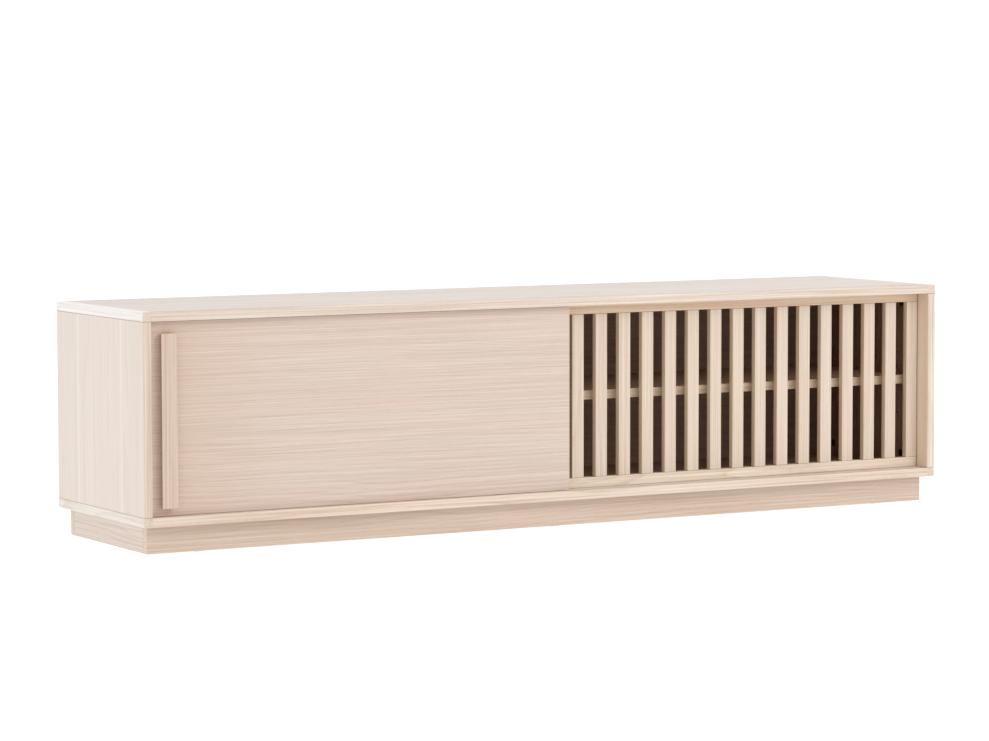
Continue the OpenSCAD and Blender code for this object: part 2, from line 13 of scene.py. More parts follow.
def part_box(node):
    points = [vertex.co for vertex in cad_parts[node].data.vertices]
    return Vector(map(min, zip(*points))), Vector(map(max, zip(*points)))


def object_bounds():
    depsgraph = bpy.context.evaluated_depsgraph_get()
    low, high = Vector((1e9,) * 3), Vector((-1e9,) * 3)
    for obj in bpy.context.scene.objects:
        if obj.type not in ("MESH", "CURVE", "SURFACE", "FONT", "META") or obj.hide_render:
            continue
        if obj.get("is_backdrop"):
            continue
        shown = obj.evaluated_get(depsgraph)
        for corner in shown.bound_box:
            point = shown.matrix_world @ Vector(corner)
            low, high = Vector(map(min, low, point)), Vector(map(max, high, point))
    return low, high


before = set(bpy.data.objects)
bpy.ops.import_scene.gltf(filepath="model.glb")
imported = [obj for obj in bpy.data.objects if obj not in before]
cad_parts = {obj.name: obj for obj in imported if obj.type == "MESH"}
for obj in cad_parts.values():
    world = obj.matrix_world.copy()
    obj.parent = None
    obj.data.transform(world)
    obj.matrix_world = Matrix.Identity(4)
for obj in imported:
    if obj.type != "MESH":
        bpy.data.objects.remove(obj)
cabinet_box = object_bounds()
print("size in metres:", [round(b - a, 4) for a, b in zip(*cabinet_box)])

# %% [markdown]
# ## The studio
# Pale furniture is best shown in a white cove, with light from all round and one large soft lamp in front. A cove
# could be modelled as a swept sheet. A white world and one wide floor give the same light with less to go wrong. The
# Standard view keeps white paper white, where a film-like view would turn it grey.

# %% White all round
MM = 0.001
scene = bpy.context.scene
scene.view_settings.view_transform = "Standard"
scene.view_settings.look = "None"

world = bpy.data.worlds.new("white_cove")
world.use_nodes = True
sky = world.node_tree.nodes["Background"].inputs
sky["Color"].default_value, sky["Strength"].default_value = (1.0, 1.0, 1.0, 1.0), 1.0
scene.world = world
print("world:", world.name)

# %% [markdown]
# ## The floor and the lamp
# The floor lies a tenth of a millimetre under the glides, so that the two never share a plane. The lamp stands in
# front and to the right. The doors get its light full on. The left side gets none of it, and is lit by the even white
# of the cove alone. Several lamps would model the cove's walls better, but each would cast a shadow of its own.

# %% Floor and lamp
FLOOR_SIDE, FLOOR_HEIGHT = 60.0, -0.1 * MM
LAMP_PLACE, LAMP_AIM, LAMP_SIZE, LAMP_WATTS = (1.6, -3.8, 2.6), (0, 0, 0.2), 2.0, 60.0


def flat_square(name, side, height):
    """A flat square sheet."""
    half = side / 2
    mesh = bpy.data.meshes.new(name)
    corners = [(-half, -half, height), (half, -half, height), (half, half, height), (-half, half, height)]
    mesh.from_pydata(corners, [], [(0, 1, 2, 3)])
    sheet = bpy.data.objects.new(name, mesh)
    scene.collection.objects.link(sheet)
    return sheet


floor = flat_square("studio_floor", FLOOR_SIDE, FLOOR_HEIGHT)
floor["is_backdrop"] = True

light = bpy.data.lights.new("front_softbox", "AREA")
light.shape, light.size, light.energy = "SQUARE", LAMP_SIZE, LAMP_WATTS
lamp = bpy.data.objects.new("front_softbox", light)
lamp.location = LAMP_PLACE
lamp.rotation_euler = (Vector(LAMP_AIM) - Vector(LAMP_PLACE)).to_track_quat("-Z", "Y").to_euler()
scene.collection.objects.link(lamp)
print("stage:", floor.name, "and", lamp.name)

# %% [markdown]
# ## The camera
# The cabinet is seen from its left front corner, from far away and hardly above its top. A long lens keeps the
# boards almost parallel. The camera could be aimed with a constraint. Here it is set by where it stands, the heading
# and tilt of its view, and a slight roll, since those four can each be corrected without disturbing the others.

# %% Camera
STAND = Vector((-3.713789, -6.418520, 0.879537))
HEADING, TILT, ROLL = (math.radians(v) for v in (-29.7797131, 4.4899912, -0.0730269))
LENS_MM, SENSOR_MM, FARTHEST = 134.88406, 36.0, 200.0

backward = Vector((math.sin(HEADING) * math.cos(TILT), -math.cos(HEADING) * math.cos(TILT), math.sin(TILT)))
sideways = (-backward).cross(Vector((0, 0, 1))).normalized()
upward = sideways.cross(-backward)
rolled_side = sideways * math.cos(ROLL) + upward * math.sin(ROLL)
rolled_up = upward * math.cos(ROLL) - sideways * math.sin(ROLL)

camera = bpy.data.objects.new("camera", bpy.data.cameras.new("camera"))
camera.data.lens, camera.data.sensor_width, camera.data.sensor_fit = LENS_MM, SENSOR_MM, "HORIZONTAL"
camera.data.clip_end = FARTHEST
camera.matrix_world = Matrix.Translation(STAND) @ Matrix((rolled_side, rolled_up, backward)).transposed().to_4x4()
scene.collection.objects.link(camera)
scene.camera = camera
print("camera", round(STAND.length, 2), "m from the middle of the cabinet's foot, lens", LENS_MM, "mm")

# %% [markdown]
# ## A way to write materials down
# A material is a network of nodes. Wired by hand, a wood needs about a hundred of them, and the idea is lost among the
# lines. Here one small class stands for a value on its way through the network, so that `1 - mask` or `ring * 0.3`
# adds the Math node that it means.


# %% Values
class Value:
    """A number, colour or vector inside a material. Sums on numbers add Math nodes."""

    def __init__(self, recipe, socket):
        self.recipe, self.socket = recipe, socket

    def math(self, operation, *values):
        return self.recipe.node("ShaderNodeMath", {"operation": operation}, dict(enumerate(values)))

    def output(self, name):
        """Another output of the same node."""
        return Value(self.recipe, self.socket.node.outputs[name])

    def __add__(self, other):
        return self.math("ADD", self, other)

    def __sub__(self, other):
        return self.math("SUBTRACT", self, other)

    def __rsub__(self, other):
        return self.math("SUBTRACT", other, self)

    def __mul__(self, other):
        return self.math("MULTIPLY", self, other)

    def __truediv__(self, other):
        return self.math("DIVIDE", self, other)

    def __pow__(self, other):
        return self.math("POWER", self, other)

    def __gt__(self, other):
        return self.math("GREATER_THAN", self, other)

    def __lt__(self, other):
        return self.math("LESS_THAN", self, other)

    __radd__, __rmul__ = __add__, __mul__

    def size(self):
        return self.math("ABSOLUTE", self)

    def fraction(self):
        return self.math("FRACT", self)

    def floor(self):
        return self.math("FLOOR", self)

    def clamp(self):
        return self.math("MINIMUM", self.math("MAXIMUM", self, 0.0), 1.0)

    def between(self, low, high):
        """0 below low, 1 above high and a smooth slope between them."""
        inputs = {"Value": self, "From Min": low, "From Max": high}
        return self.recipe.node("ShaderNodeMapRange", {"interpolation_type": "SMOOTHSTEP"}, inputs)


# %% [markdown]
# Every other node is made by one method, `node`, from its type, its settings and its inputs. Settings come first,
# because some of them decide which inputs a node has. The methods after it are the few nodes that every finish here
# uses: blended and tinted colours, noise, a bump, and the surface that ends the material. The plastics, the metals
# and the woods are all written with them.


# %% Recipes
class Recipe:
    """A material while it is being written."""

    def __init__(self, name):
        self.material = bpy.data.materials.new(name)
        self.material.use_nodes = True
        self.tree = self.material.node_tree
        self.tree.nodes.clear()

    def node(self, kind, settings=None, inputs=None, output=0):
        made = self.tree.nodes.new(kind)
        for name, setting in (settings or {}).items():
            setattr(made, name, setting)
        for name, value in (inputs or {}).items():
            if isinstance(value, Value):
                self.tree.links.new(value.socket, made.inputs[name])
            else:
                made.inputs[name].default_value = value
        return Value(self, made.outputs[output])

    def vector(self, operation, *values):
        return self.node("ShaderNodeVectorMath", {"operation": operation}, dict(enumerate(values)))

    def axes(self, vector):
        """The X, Y and Z of a vector."""
        parts = self.node("ShaderNodeSeparateXYZ", {}, {0: vector})
        return [parts.output(axis) for axis in "XYZ"]

    def place(self):
        """Where a point is on its own part, in metres. It moves with a door."""
        return self.node("ShaderNodeTexCoord", {}, {}, "Object")

    def facing(self):
        """Which way the surface faces, as X, Y and Z from -1 to 1."""
        return self.axes(self.node("ShaderNodeTexCoord", {}, {}, "Normal"))

    def blend(self, share, first, second, way="MIX"):
        """A colour between first and second. On a Mix node set to colours, they are inputs 6 and 7 and output 2."""
        first, second = ((*c, 1.0) if isinstance(c, tuple) else c for c in (first, second))
        settings = {"data_type": "RGBA", "blend_type": way}
        return self.node("ShaderNodeMix", settings, {0: share, 6: first, 7: second}, 2)

    def tinted(self, colour, tint):
        """The colour multiplied by a tint."""
        return self.blend(1.0, colour, tint, "MULTIPLY")

    def noise(self, where, scales, detail=2.0, roughness=0.5):
        """Cloudy noise, stretched by its scales: so many clouds to the metre along X, Y and Z."""
        stretched = self.vector("MULTIPLY", where, scales)
        inputs = {"Vector": stretched, "Scale": 1.0, "Detail": detail, "Roughness": roughness}
        return self.node("ShaderNodeTexNoise", {"noise_dimensions": "3D"}, inputs)

    def chance(self, number):
        """A number and a colour drawn by lot, the same each time for the same number."""
        return self.node("ShaderNodeTexWhiteNoise", {"noise_dimensions": "1D"}, {"W": number})

    def bump(self, height, depth):
        """A Normal that follows height, where a height of 1 stands depth metres proud."""
        return self.node("ShaderNodeBump", {}, {"Strength": 1.0, "Distance": depth, "Height": height})

    def surface(self, **inputs):
        """Ends the material with a Principled surface."""
        named = {name.replace("_", " "): value for name, value in inputs.items()}
        shader = self.node("ShaderNodeBsdfPrincipled", {}, named)
        end = self.tree.nodes.new("ShaderNodeOutputMaterial")
        self.tree.links.new(shader.socket, end.inputs["Surface"])
        return self.material


# %% [markdown]
# ## The studio's paper floor
# The floor is matt white paper. It glows a little of its own, as a cove lit by its own lamps does, so that it stays
# white up to the plinth.

# %% Paper
paper = Recipe("studio_white")
paper_cloud = paper.noise(paper.place(), (2.0,) * 3, 2.0)
paper_tone = paper.blend(paper_cloud, (0.300, 0.300, 0.300), (0.310, 0.310, 0.310))
floor.data.materials.append(paper.surface(
    Base_Color=paper_tone, Roughness=0.9, Emission_Color=(1.0, 1.0, 1.0, 1.0), Emission_Strength=0.85,
    Specular_IOR_Level=0.0))
print("floor finish:", paper.material.name)

# %% [markdown]
# ## Oak: where a board was cut
# Oak is a bundle of long tubes laid down in rings. A flat stripe pattern on each face would never meet at the edges,
# so the wood here fills space, and a board shows whatever wood its faces cut through. A board is set out by the axis
# that its grain runs along and by how far through the tree it is shifted, so that no two look alike. The slats share
# one finish: their number along the door, `stripes`, is put through a lot that sends each to its own place.


# %% A board's place in the tree
X, Y, Z = 0, 1, 2
CUT_APART = 0.9  # metres between the places in the tree that slats of one door come from


class Board(Recipe):
    """A recipe for oak, which knows where a point is on the board and in the tree."""

    def __init__(self, name, grain, shift, stripes):
        super().__init__(name)
        self.grain, self.lot, place = grain, None, self.place()
        self.xyz, self.faces = self.axes(place), self.facing()
        if stripes:
            axis, start, pitch = stripes
            self.lot = self.chance(((self.xyz[axis] - start) / pitch).floor())
            place = self.vector("ADD", place, self.vector("MULTIPLY", self.lot.output("Color"), (CUT_APART,) * 3))
        self.in_tree = self.vector("ADD", place, shift)
        self.run = self.axes(self.in_tree)[grain]

    def figure(self, lengthwise, across, detail, roughness=0.5):
        """Noise in the tree, with so many clouds to the metre along the grain and across it."""
        scales = tuple(lengthwise if axis == self.grain else across for axis in (X, Y, Z))
        return self.noise(self.in_tree, scales, detail, roughness)


# %% [markdown]
# ## Oak: rings
# The rings are cylinders round a pith that lies outside the board, as in the tree, so that faces, edges and ends
# agree. Wood is never turned so true: two slow noises make the cylinders wander, a third makes the years uneven, and
# a slope runs them out of the face of a long board. Each ring starts dark, at its row of open pores, and fades.


# %% Rings
WANDER, QUICK_WANDER = 0.055, 0.010  # metres that a ring strays
UNEVEN_YEARS, SLAT_SPREAD = 1.6, 0.06


def ring_lines(board, pith, ring, slope):
    """1 at the dark start of each ring and fading to 0 at the next."""
    first, second = [axis for axis in (Z, Y, X) if axis != board.grain]
    wander = (board.figure(0.9, 5.0, 2.0) - 0.5) * WANDER + (board.figure(3.5, 22.0, 2.0) - 0.5) * QUICK_WANDER
    a, b = board.xyz[first] + board.run * slope - pith[0], board.xyz[second] - pith[1]
    if board.lot is not None:
        a = a + (board.lot - 0.5) * SLAT_SPREAD
    radius = (a * a + b * b) ** 0.5 + wander
    inputs = {"W": radius * 55.0, "Scale": 1.0, "Detail": 1.0}
    years = board.node("ShaderNodeTexNoise", {"noise_dimensions": "1D"}, inputs)
    return (1 - (radius / ring + years * UNEVEN_YEARS).fraction()) ** 3.0


# %% [markdown]
# ## Oak: streaks, fibre and pores
# Between the rings lie marks that are all long and narrow. Streaks are some 4 mm wide, the fibre 1 mm, and the pores
# half of that: short dark dashes, thickest where a ring starts. One noise could serve for all three, but each has its
# own length on real oak, and the eye knows them apart.


# %% Streaks, fibre and pores
def long_marks(board, ring_line):
    """The streaks, fibre and pores of a board, each from 0 to 1."""
    streaks = board.figure(2.2, 260.0, 3.0, 0.60)
    fibre = board.figure(18.0, 900.0, 2.0, 0.6)
    pores = board.figure(60.0, 1900.0, 0.0).between(0.60, 0.74)
    return streaks, fibre, pores * (0.35 + ring_line * 0.65)


# %% [markdown]
# ## Oak: leaves of veneer
# The wide panels are veneered. Veneer is the same wood in leaves laid side by side, each a shade off its neighbour,
# with a soft pale seam between them. A leaf is given by the axis it is laid along, where the first starts, and its
# width. Real leaves could be modelled as strips, but the seam is thinner than any edge that the light would find.


# %% Leaves
SEAM = 8 * MM


def in_leaves(board, colour, leaf, tone):
    """The colour, laid in leaves of veneer."""
    axis, start, width = leaf
    turn = (board.xyz[axis] - start) / width
    shade = board.blend(board.chance(turn.floor()), (0.985, 0.98, 0.975), (1.01, 1.012, 1.014))
    seam = ((turn.fraction() - 0.5).size() * width).between(width / 2 - SEAM, width / 2)
    return board.blend(seam * 0.8, board.tinted(colour, shade), tuple(min(1.0, t * 1.10) for t in tone))


# %% [markdown]
# ## Oak: faces that differ
# One board isn't one colour all round. End grain drinks more pigment and comes out darker. The front edge of a side
# panel is a solid lipping, warmer than the veneer next to it and more boldly striped. The flanks of the slats and the
# sides' inner faces get a warmer tint, which is painted bounce light: the warm light that wood throws onto wood in the
# narrow gaps and across the cabinet. The way a surface faces tells them apart, so no board has to be cut up into
# several materials.


# %% Faces
def by_face(board, colour, streaks, ends, front_edge, painted_flank_bounce, painted_room_bounce):
    """The colour, tinted on the ends and the front edge, with painted warm bounce light on the slats' sides and on the
    side that looks into the cabinet.
    """
    end_face = board.faces[board.grain].size().between(0.6, 0.8)
    colour = board.blend(end_face, colour, board.tinted(colour, ends))
    if front_edge:
        light_strip, dark_strip = (tuple(t * k for t in front_edge) for k in (1.12, 0.885))
        strip = board.blend(streaks.between(0.38, 0.62), light_strip, dark_strip)
        colour = board.blend(board.faces[Y] < -0.7, colour, board.tinted(colour, strip))
    # Painted warm bounce light on the slats' sides and, below, on the side panels' inner faces.
    if painted_flank_bounce:
        colour = board.blend(board.faces[X].size() > 0.7, colour, board.tinted(colour, painted_flank_bounce))
    if painted_room_bounce:
        colour = board.blend((board.faces[X] * board.xyz[X]) < -0.6, colour, board.tinted(colour, painted_room_bounce))
    return colour


# %% [markdown]
# ## Oak: fades and joint lines
# The solid door deepens a little towards its left end: painted shade, where the side panel and the handle shade it.
# That is a tint between two places along X. Where two boards meet flush, a hair line of shadow shows, too fine to model
# as a gap without opening the joint, so it is painted. `joints` lists the heights of such lines, each 1.8 mm wide at
# most.


# %% Fades and joints
HALF_JOINT = 0.9 * MM


def painted_shade_and_joints(board, colour, painted_shade_span, joints):
    """The colour, with painted shade below a place along X and painted shadow in the lines of its joints."""
    # Painted shade on the door's left end, by the side panel and the handle.
    if painted_shade_span:
        low, high, shade = painted_shade_span
        colour = board.blend(board.xyz[X].between(low, high), board.tinted(colour, shade), colour)
    for height in joints:
        line = ((board.xyz[Z] - height).size() < HALF_JOINT) * 0.9
        colour = board.blend(line, colour, board.tinted(colour, (0.45, 0.38, 0.32)))
    return colour


# %% [markdown]
# ## The dark inside
# Behind the doors the boards are stained dark brown, and the pale edges in front of the door line are left. The stain
# stops at a line that the closed doors cover. A second material on the inner faces would need the boards cut there. A
# mask does without: a point is inside if it lies in the box that the boards enclose, a hair larger than the room
# itself so that their faces are caught, and as deep as the shelf pins' holes at the ends.

# %% Where the stain goes
STAIN_LIGHT, STAIN_DARK = (0.480, 0.310, 0.200), (0.230, 0.135, 0.085)
HAIR, PIN_HOLE = 0.5 * MM, 9 * MM
left_side, right_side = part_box("left_side"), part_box("right_side")
bottom_panel, top_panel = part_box("bottom_panel"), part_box("top_panel")
room_low = (left_side[1].x - PIN_HOLE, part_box("right_shelf")[0].y + HAIR, bottom_panel[1].z - HAIR)
room_high = (right_side[0].x + PIN_HOLE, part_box("left_back")[0].y + HAIR, top_panel[0].z + HAIR)
print("stained room:", [round(v, 4) for v in room_low], "to", [round(v, 4) for v in room_high])


def inside_of_cabinet(xyz):
    """1 where a part's point lies in the stained room, 0 elsewhere."""
    mask = 1.0
    for value, low, high in zip(xyz, room_low, room_high):
        mask = (value > low) * (value < high) * mask
    return mask


# %% [markdown]
# ## Oak: the whole recipe
# The marks add up to how dark a point is. It picks a colour between a light and a dark version of the board's tone:
# the dark one is also browner, and `contrast` sets how far apart they are. Slow drifts from pinkish to honey go over
# that. The finish is a white-pigmented matt lacquer, which fills most pores and has a soft, wide shine, rougher in
# the pores that it doesn't fill.


# %% Oak
PINK, HONEY = (1.014, 0.984, 0.984), (0.994, 1.008, 1.000)
LIGHTER, DARKER = (0.050, 0.060, 0.075), (0.085, 0.115, 0.145)
woods = []


def oak(name, grain, tone, pith, ring=4.2 * MM, slope=0.0, shift=(0.0, 0.0, 0.0), contrast=1.0, streaky=1.0,
        leaf=None, stripes=None, joints=(), ends=(0.86, 0.84, 0.81), front_edge=None, painted_flank_bounce=None, painted_room_bounce=None,
        painted_shade_span=None, roughness=0.46, stain=None):
    """Oak in the average colour tone, with its grain along an axis."""
    board = Board(name, grain, shift, stripes)
    ring_line = ring_lines(board, pith, ring, slope)
    streaks, fibre, pores = long_marks(board, ring_line)
    dark = 0.36 + ring_line * 0.30 + (streaks - 0.5) * (2.0 * streaky) + (fibre - 0.5) * 0.5 + pores * 0.35
    dark = dark.clamp()
    light_tone = tuple(t * (1 + contrast * k) for t, k in zip(tone, LIGHTER))
    dark_tone = tuple(t * (1 - contrast * k) for t, k in zip(tone, DARKER))
    drift = board.figure(1.6, 30.0, 3.0, 0.6).between(0.3, 0.7)
    colour = board.tinted(board.blend(dark, light_tone, dark_tone), board.blend(drift, PINK, HONEY))
    if leaf:
        colour = in_leaves(board, colour, leaf, tone)
    colour = by_face(board, colour, streaks, ends, front_edge, painted_flank_bounce, painted_room_bounce)
    colour = painted_shade_and_joints(board, colour, painted_shade_span, joints)

    shine = roughness + (fibre - 0.5) * 0.16 + pores * 0.2
    if stain:
        inside = inside_of_cabinet(board.xyz)
        thin, thick = (tuple(t * stain for t in tones) for tones in (STAIN_LIGHT, STAIN_DARK))
        colour = board.blend(inside, colour, board.blend(dark, thin, thick))
        shine = shine + inside * 0.10
    grooves = (1 - pores) * 0.6 + fibre * 0.4 - ring_line * 0.25
    woods.append(name)
    return board.surface(Base_Color=colour, Roughness=shine, Normal=board.bump(grooves, 0.07 * MM), IOR=1.46)


# %% [markdown]
# ## Dressing a part
# Dressing gives a part its finish and takes the sharp edge off it, as a maker does with fine paper: a few tenths on
# strips that meet flush, up to a millimetre where a hand goes. The boards arrive as triangles whose corners are
# doubled along every edge. Weld joins the doubled corners into one skin. Decimate dissolves the triangles of each
# flat face into one whole face, since a bevel that crosses long thin triangles leaves dark creases. Bevel rounds each
# real edge, and Weighted Normal keeps the flat faces flat to the light. The rounding could be cut into the mesh, but
# as modifiers they leave the board's own shape untouched underneath.

# %% Dressing
WELD_REACH = 0.001 * MM
FLAT_WITHIN, EDGE_FROM = math.radians(0.5), math.radians(40)
dressed = []


def dress(finish, ease_mm, *names):
    """Gives the named parts a finish and, where ease_mm isn't 0, edges rounded to that many millimetres."""
    for name in names:
        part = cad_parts[name]
        part.data.materials.clear()
        part.data.materials.append(finish)
        if ease_mm:
            part.modifiers.new("one_skin", "WELD").merge_threshold = WELD_REACH
            joined = part.modifiers.new("whole_faces", "DECIMATE")
            joined.decimate_type, joined.angle_limit = "DISSOLVE", FLAT_WITHIN
            ease = part.modifiers.new("eased_edges", "BEVEL")
            ease.width, ease.segments, ease.limit_method = ease_mm * MM, 2, "ANGLE"
            ease.angle_limit, ease.use_clamp_overlap = EDGE_FROM, False
            part.data.polygons.foreach_set("use_smooth", [True] * len(part.data.polygons))
            part.modifiers.new("flat_faces", "WEIGHTED_NORMAL").keep_sharp = True
    dressed.extend(names)
    print(finish.name, "on", ", ".join(names))


# %% [markdown]
# ## Top and bottom panels
# Two veneered boards with the grain along the cabinet. The top is the widest surface, where the leaves of veneer show
# most, and its lacquer is rubbed a touch smoother than the rest. Both are stained where they close the room. A box with
# a stripe picture would do for one view, but it would end at the edges, where this wood runs on.

# %% Top and bottom panels
top_oak = oak("top_oak", X, (0.681, 0.606, 0.566), pith=(0.60, -0.30), leaf=(Y, -0.20, 0.20), shift=(3, 0, 0),
              contrast=2.5, roughness=0.42, stain=1.0)
dress(top_oak, 0.2, "top_panel", "bottom_panel")

# %% [markdown]
# ## Lippings
# Solid strips glued round the veneered boards, which take knocks that veneer can't. They could be painted on as a
# border, but each is a part of its own, so its grain runs its own way: along the cabinet in front, and front to back
# at the ends. An end strip shows its end grain on the cabinet's front, warmer than its long side.

# %% Lippings
top_strip_oak = oak("top_strip_oak", X, (0.626, 0.541, 0.465), pith=(0.02, 0.05), ring=5 * MM, shift=(11, 0, 0),
                    contrast=3.0)
bottom_strip_oak = oak("bottom_strip_oak", X, (0.646, 0.538, 0.443), pith=(0.02, 0.05), ring=5 * MM,
                       shift=(15, 0, 0), contrast=3.2)
# The top end strips are near white: partly paler solid wood, partly a painted highlight.
top_end_oak_and_highlight = oak("top_end_oak_and_highlight", Y, (0.845, 0.815, 0.787), pith=(0.1, 0.02), ring=5 * MM, shift=(2, 6, 0),
                  contrast=1.6, ends=(0.720, 0.632, 0.550))
bottom_end_oak = oak("bottom_end_oak", Y, (0.792, 0.724, 0.665), pith=(0.1, 0.02), ring=5 * MM, shift=(2, 9, 0),
                     contrast=2.2, ends=(0.760, 0.700, 0.630))
dress(top_strip_oak, 0.3, "top_front_lipping")
dress(bottom_strip_oak, 0.3, "bottom_front_lipping")
dress(top_end_oak_and_highlight, 0.3, "top_end_lippings")
dress(bottom_end_oak, 0.3, "bottom_end_lippings")

# %% [markdown]
# ## Sides and divider
# Upright boards, with upright grain and calm veneer. They stand between the bottom and the top panel, and the two
# joints show as hair lines at the heights of those panels' faces. The divider is cut from the same boards as the left
# side and is stained all over, but for the edge in front of the stain.

# %% Sides and divider
# The third tint is painted warm bounce light on the sides' inner faces.
side_tone, side_leaf, side_painted_bounce = (0.755, 0.672, 0.606), (Y, -0.10, 0.20), (0.998, 0.908, 0.782)
side_joints = (bottom_panel[1].z, top_panel[0].z)
left_side_oak = oak("left_side_oak", Z, side_tone, pith=(-0.45, 0.9), leaf=side_leaf, shift=(0, 5, 0),
                    contrast=0.8, joints=side_joints, front_edge=(0.820, 0.756, 0.676), painted_room_bounce=side_painted_bounce,
                    stain=1.0)
right_side_oak = oak("right_side_oak", Z, side_tone, pith=(0.45, 0.9), leaf=side_leaf, shift=(1, 5, 0),
                     contrast=1.2, joints=side_joints, front_edge=(0.826, 0.804, 0.756), painted_room_bounce=side_painted_bounce,
                     stain=1.0)
dress(left_side_oak, 0.4, "left_side", "centre_divider")
dress(right_side_oak, 0.4, "right_side")

# %% [markdown]
# ## Shelves and backs
# The shelves are stained too, with pale front edges that cross behind the slats. The backs are thin fibre board,
# stained brown with a faint long grain. Both could share the oak recipe, but board has no rings or pores, only fibre
# and clouds, so it has its own. Its rear, which nobody sees, is darker.


# %% Shelves and backs
def brown_board(name):
    """Thin board stained brown, with a darker rear."""
    board = Recipe(name)
    place = board.place()
    rear = board.facing()[Y] > 0.7
    cloud = board.noise(place, (4.0, 4.0, 4.0), 3.0)
    grain = board.noise(place, (3.0, 3.0, 180.0), 3.0, 0.6)
    fibre = board.noise(place, (60.0, 60.0, 1400.0), 2.0, 0.6)
    mix = (0.5 + (cloud - 0.5) * 0.6 + (grain - 0.5) * 1.6 + (fibre - 0.5) * 0.6).clamp()
    colour = board.blend(mix, (0.250, 0.147, 0.092), (0.370, 0.233, 0.151))
    colour = board.blend(rear, colour, board.tinted(colour, (0.42, 0.40, 0.40)))
    shine = 0.55 + (fibre - 0.5) * 0.2
    return board.surface(Base_Color=colour, Roughness=shine, Normal=board.bump(fibre * 0.5 + grain * 0.5, 0.05 * MM))


shelf_oak = oak("shelf_oak", X, (0.670, 0.526, 0.381), pith=(0.3, -0.3), shift=(7, 2, 0), contrast=2.0, stain=1.22)
dress(shelf_oak, 0.5, "left_shelf", "right_shelf")
dress(brown_board("dark_board"), 0.3, "left_back", "right_back")

# %% [markdown]
# ## Plinth
# A frame of four boards, set back under the bottom panel. The front and back boards run through to the ends and show
# their end grain at the sides, where it is paler than their faces. Inside, where nobody looks, the cross rail and the
# corner blocks are beech: a cheap, hard wood, pinkish and even, with short dark flecks along the grain. Dowels are
# turned from it too.


# %% Plinth
def beech(name):
    """Beech, with its flecks upright."""
    wood = Recipe(name)
    place = wood.place()
    fleck = wood.noise(place, (900.0, 900.0, 160.0), 1.0).between(0.58, 0.72)
    fibre = wood.noise(place, (1200.0, 1200.0, 30.0), 2.0)
    mix = (fleck * 0.5 + (fibre - 0.5) * 0.8 + 0.3).clamp()
    colour = wood.blend(mix, (0.640, 0.450, 0.300), (0.480, 0.300, 0.185))
    return wood.surface(Base_Color=colour, Roughness=0.62 + (fibre - 0.5) * 0.1, Normal=wood.bump(fibre, 0.04 * MM))


plinth_oak = oak("plinth_oak", X, (0.568, 0.453, 0.368), pith=(0.22, -0.5), shift=(9, 0, 1), contrast=2.2,
                 ends=(1.224, 1.309, 1.283))
plinth_end_oak = oak("plinth_end_oak", Y, (0.710, 0.615, 0.548), pith=(0.22, -0.5), shift=(9, 4, 1), contrast=2.0)
beech_wood = beech("beech")
dress(plinth_oak, 0.5, "plinth_front", "plinth_back")
dress(plinth_end_oak, 0.3, "plinth_left", "plinth_right")
dress(beech_wood, 0.4, "plinth_cross_rail", "plinth_corner_blocks")
dress(beech_wood, 0.0, "dowels")

# %% [markdown]
# ## Solid door and its handle
# The door is one wide panel with long, quiet figure: its streaks are weaker than on a solid strip, and the rings
# slope gently out of its face. It deepens towards the left, in painted shade by the side panel and the handle. The
# handle is a solid batten with upright grain, so its pith is close by and its rings show as bold stripes. A hand goes
# there, so its edges are the softest.

# %% Solid door and its handle
door_oak = oak("door_oak", X, (0.592, 0.490, 0.423), pith=(0.05, -0.36), shift=(1.7, 0, 3), slope=0.03,
               contrast=2.0, streaky=0.75, painted_shade_span=(-0.88, -0.55, (0.965, 0.915, 0.865)))
handle_oak = oak("handle_oak", Z, (0.566, 0.450, 0.365), pith=(-0.81, -0.12), ring=5 * MM, shift=(4, 4, 4),
                 contrast=2.0)
dress(door_oak, 0.5, "solid_door_panel")
dress(handle_oak, 0.9, "door_handle")

# %% [markdown]
# ## Slatted door
# Upright slats between two rails. Each slat could have a material of its own, seventeen in all. One does for all of
# them: the first slat's middle and the pitch say where each slat's strip of the door begins, and every strip draws
# its own place in the tree. The slats meet the rails flush, so the joints show as hair lines.

# %% Slatted door
slat_low, slat_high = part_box("slat_01")
slat_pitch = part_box("slat_02")[0].x - slat_low.x
slat_start = (slat_low.x + slat_high.x - slat_pitch) / 2
rail_joints = (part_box("slat_door_bottom_rail")[1].z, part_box("slat_door_top_rail")[0].z)
print("slat pitch, mm:", round(slat_pitch / MM, 2))

# The slats' side faces take a warmer tint: painted bounce light from their neighbours.
slat_oak = oak("slat_oak", Z, (0.614, 0.514, 0.416), pith=(0.05, 0.05), ring=5 * MM, shift=(0, 1, 4), contrast=2.0,
               stripes=(X, slat_start, slat_pitch), joints=rail_joints, painted_flank_bounce=(1.07, 0.985, 0.857))
# The top rail is darker and more orange than the bottom rail: painted shade under the overhang of the top panel.
top_rail_painted_shade_oak = oak("top_rail_painted_shade_oak", X, (0.684, 0.526, 0.377), pith=(0.05, 0.06), ring=5 * MM, shift=(13, 0, 2),
                   contrast=2.2)
bottom_rail_oak = oak("bottom_rail_oak", X, (0.720, 0.612, 0.496), pith=(0.05, 0.06), ring=5 * MM,
                      shift=(17, 0, 2), contrast=3.0)
dress(slat_oak, 0.7, *(f"slat_{number:02d}" for number in range(1, 18)))
dress(top_rail_painted_shade_oak, 0.4, "slat_door_top_rail")
dress(bottom_rail_oak, 0.4, "slat_door_bottom_rail")
print("oaks:", len(woods))

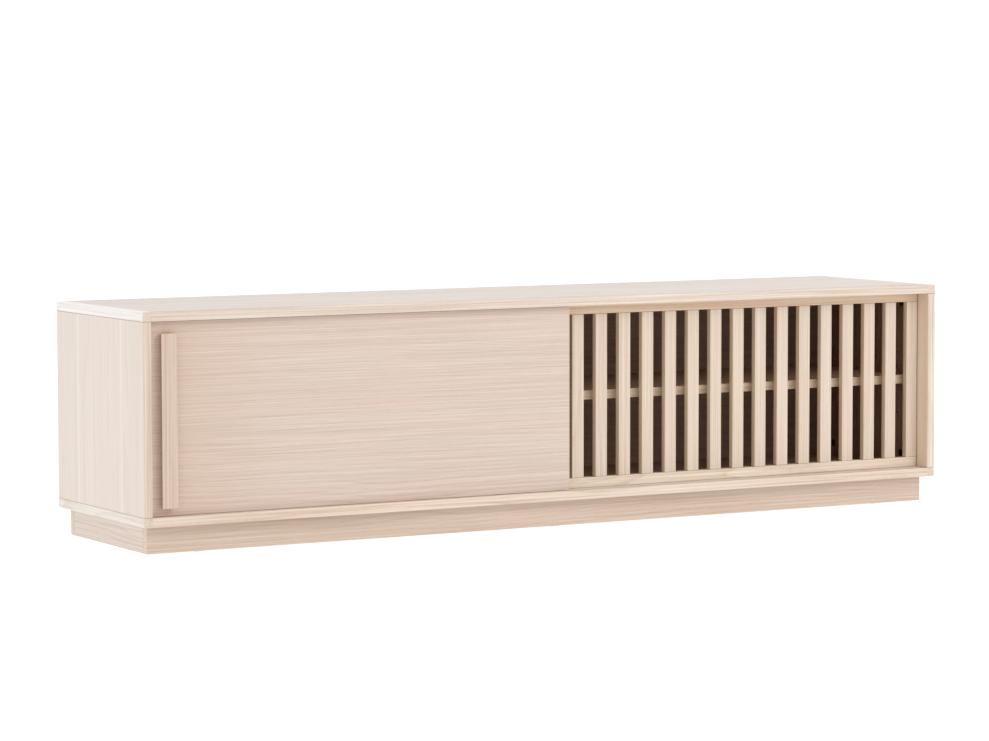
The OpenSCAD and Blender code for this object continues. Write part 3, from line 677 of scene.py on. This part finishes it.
# %% [markdown]
# ## Tracks, housings, wheels and buffers
# The doors run on nylon wheels in black moulded housings, in tracks of pale plastic. The buffers are grey rubber, and
# the glides under the plinth off-white plastic. None of them is one flat colour in life: plastic has the fine texture
# of its spark-eroded mould and slow clouds of tone. One recipe serves them all, with its own colour, shine and depth
# of texture. They are small and round or hidden, and keep the edges that they came with, but for tracks and glides.


# %% Plastic and rubber
def moulded(name, colour, roughness, grain_per_m=2600.0, cast=0.06):
    """Moulded plastic or rubber: a fine even grain, a slow cloud of tone, and an even shine."""
    plastic = Recipe(name)
    place = plastic.place()
    grain = plastic.noise(place, (grain_per_m,) * 3, 1.0)
    cloud = plastic.noise(place, (60.0,) * 3, 2.0)
    lighter, darker = (tuple(min(1.0, c * (1 + s * cast)) for c in colour) for s in (1, -1))
    tone = plastic.blend((cloud * 0.7 + grain * 0.3).clamp(), darker, lighter)
    shine = roughness + (cloud - 0.5) * 0.12
    return plastic.surface(Base_Color=tone, Roughness=shine, Normal=plastic.bump(grain, 0.02 * MM))


doors = ("solid_door", "slat_door")
dress(moulded("track_plastic", (0.680, 0.575, 0.460), 0.42), 0.3, "upper_tracks", "lower_tracks")
dress(moulded("glide_plastic", (0.860, 0.850, 0.820), 0.60, cast=0.02), 0.3, "glides")
dress(moulded("housing_plastic", (0.090, 0.090, 0.092), 0.48), 0.0,
      *(f"{door}_{fitting}" for door in doors for fitting in ("housings", "guides")))
dress(moulded("buffer_rubber", (0.330, 0.330, 0.330), 0.55, 1500.0), 0.0, *(f"{door}_buffers" for door in doors))
dress(moulded("nylon", (0.780, 0.770, 0.740), 0.36, cast=0.03), 0.0,
      *(f"{door}_{end}_wheel" for door in doors for end in ("left", "right")))

# %% [markdown]
# ## Screws, cams and pins
# Cam bolts are zinc plated and the screws are bright steel. The cams and the shelf pins sit in the stained room,
# where bright metal would glint between the slats, so they are bronzed. Plating is fully metallic, with cloudy
# patches and the fine lines of drawn wire.


# %% Metal
def plated(name, colour, roughness):
    """Plated steel, with clouds and fine drawing lines."""
    metal = Recipe(name)
    place = metal.place()
    cloud = metal.noise(place, (500.0,) * 3, 3.0)
    lines = metal.noise(place, (300.0, 300.0, 5000.0), 1.0)
    tone = metal.blend(cloud, tuple(c * 0.86 for c in colour), colour)
    shine = roughness + (cloud - 0.5) * 0.2 + (lines - 0.5) * 0.1
    return metal.surface(Base_Color=tone, Metallic=1.0, Roughness=shine, Normal=metal.bump(lines, 0.006 * MM))


dress(plated("zinc", (0.700, 0.705, 0.710), 0.36), 0.0, "cam_bolts")
dress(plated("bronzed", (0.130, 0.095, 0.070), 0.48), 0.0, "cam_locks", "shelf_pins")
dress(plated("screw_steel", (0.560, 0.560, 0.555), 0.30), 0.0, "plinth_screws", "back_screws", "handle_screws")
print("parts dressed:", len(dressed), "left out:", sorted(set(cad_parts) - set(dressed)))

# %% [markdown]
# ## Measuring and closing
# The eased edges should leave the model the size of the CAD model. Both boxes are measured, and the last line prints
# the largest change between them.

# %% Measure and finish
dressed_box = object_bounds()
changes = [abs(a - b) / MM for before, after in zip(cabinet_box, dressed_box) for a, b in zip(before, after)]
print("largest change of size, mm:", round(max(changes), 3))
